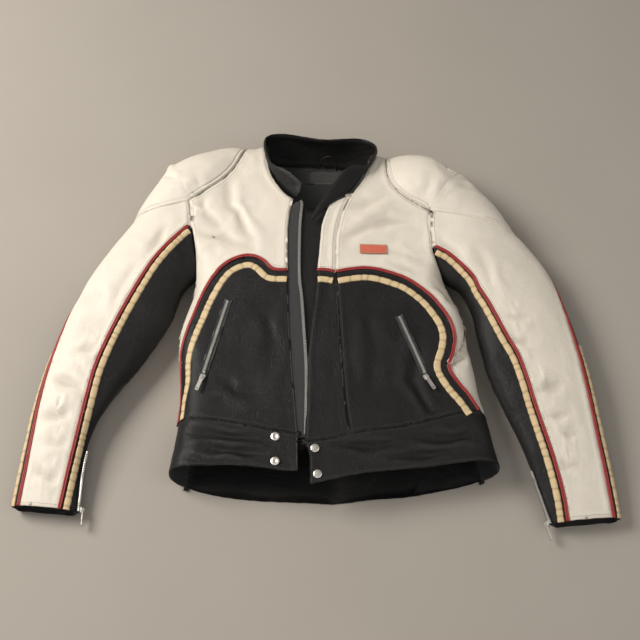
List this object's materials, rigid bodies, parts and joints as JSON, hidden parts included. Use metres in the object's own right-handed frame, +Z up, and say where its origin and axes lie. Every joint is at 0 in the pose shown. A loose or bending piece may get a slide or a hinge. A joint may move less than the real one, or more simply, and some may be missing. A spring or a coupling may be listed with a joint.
{
  "type": "leather motorcycle jacket",
  "caption": "Two-colour leather motorcycle jacket laid on its back, open zip, short stand collar, padded shoulders, waistband with snaps.",
  "frame": {"origin": "centre of the bounding box at the floor that the jacket lies on", "axes": "+Z up from the floor, +Y towards the collar, +X towards the picture's right"},
  "size_m": [0.9021, 0.7213, 0.1073],
  "materials": {
    "white leather": "soft semi-matt hide",
    "black leather": "soft semi-gloss hide",
    "red piping": "semi-gloss cord",
    "cream stripe": "puckered strip",
    "black lining": "matt woven lining",
    "black tape": "woven zip tape",
    "nickel": "satin nickel",
    "badge red": "plain stitched patch"
  },
  "bodies": {
    "jacket": {"chest_left": "white leather", "front_lower_left": "black leather", "side_panel_left": "white leather", "shoulder_pad_left": "white leather", "sleeve_cap_left": "white leather", "sleeve_top_left": "white leather", "sleeve_under_left": "black leather", "piping_front_left": "red piping", "stripe_front_left": "cream stripe", "piping_inner_left": "red piping", "piping_outer_left": "red piping", "stripe_inner_left": "cream stripe", "stripe_outer_left": "cream stripe", "pocket_tape_left": "black tape", "pocket_slider_left": "nickel", "cuff_tape_left": "black tape", "cuff_slider_left": "nickel", "chest_right": "white leather", "front_lower_right": "black leather", "side_panel_right": "white leather", "shoulder_pad_right": "white leather", "sleeve_cap_right": "white leather", "sleeve_top_right": "white leather", "sleeve_under_right": "black leather", "piping_front_right": "red piping", "stripe_front_right": "cream stripe", "piping_inner_right": "red piping", "piping_outer_right": "red piping", "stripe_inner_right": "cream stripe", "stripe_outer_right": "cream stripe", "pocket_tape_right": "black tape", "pocket_slider_right": "nickel", "cuff_tape_right": "black tape", "cuff_slider_right": "nickel", "placket_upper": "white leather", "placket_lower": "black leather", "piping_placket": "red piping", "stripe_placket": "cream stripe", "waistband_front_left": "black leather", "waistband_front_right": "black leather", "back_panel": "white leather", "waistband_back": "black leather", "lining_back": "black lining", "neck_label": "black lining", "zip_tape_left": "black tape", "zip_tape_right": "black tape", "wind_flap": "black leather", "collar": "black leather", "snap_socket_1": "nickel", "snap_socket_2": "nickel", "snap_cap_1": "nickel", "snap_cap_2": "nickel", "collar_dot": "black leather", "hanger_loop": "black lining", "chest_badge": "badge red"},
    "cuff_pull_left": {"cuff_pull_left": "nickel"},
    "cuff_pull_right": {"cuff_pull_right": "nickel"},
    "pocket_pull_left": {"pocket_pull_left": "nickel"},
    "pocket_pull_right": {"pocket_pull_right": "nickel"}
  },
  "joints": [
    {"name": "cuff_pull_left_hinge", "type": "hinge", "parent": "jacket", "child": "cuff_pull_left", "pos_m": [-0.34376, -0.31561, 0.01605], "axis": [-0.0003, -0.097, 0.9953], "range_deg": [0, 150]},
    {"name": "cuff_pull_right_hinge", "type": "hinge", "parent": "jacket", "child": "cuff_pull_right", "pos_m": [0.33775, -0.33735, 0.01497], "axis": [-0.0322, 0.1167, -0.9926], "range_deg": [0, 150]},
    {"name": "pocket_pull_left_hinge", "type": "hinge", "parent": "jacket", "child": "pocket_pull_left", "pos_m": [-0.1724, -0.12391, 0.07442], "axis": [-0.9393, 0.3428, 0.0137], "range_deg": [0, 150]},
    {"name": "pocket_pull_right_hinge", "type": "hinge", "parent": "jacket", "child": "pocket_pull_right", "pos_m": [0.16792, -0.12391, 0.07442], "axis": [-0.8662, -0.4994, -0.0178], "range_deg": [0, 150]}
  ]
}
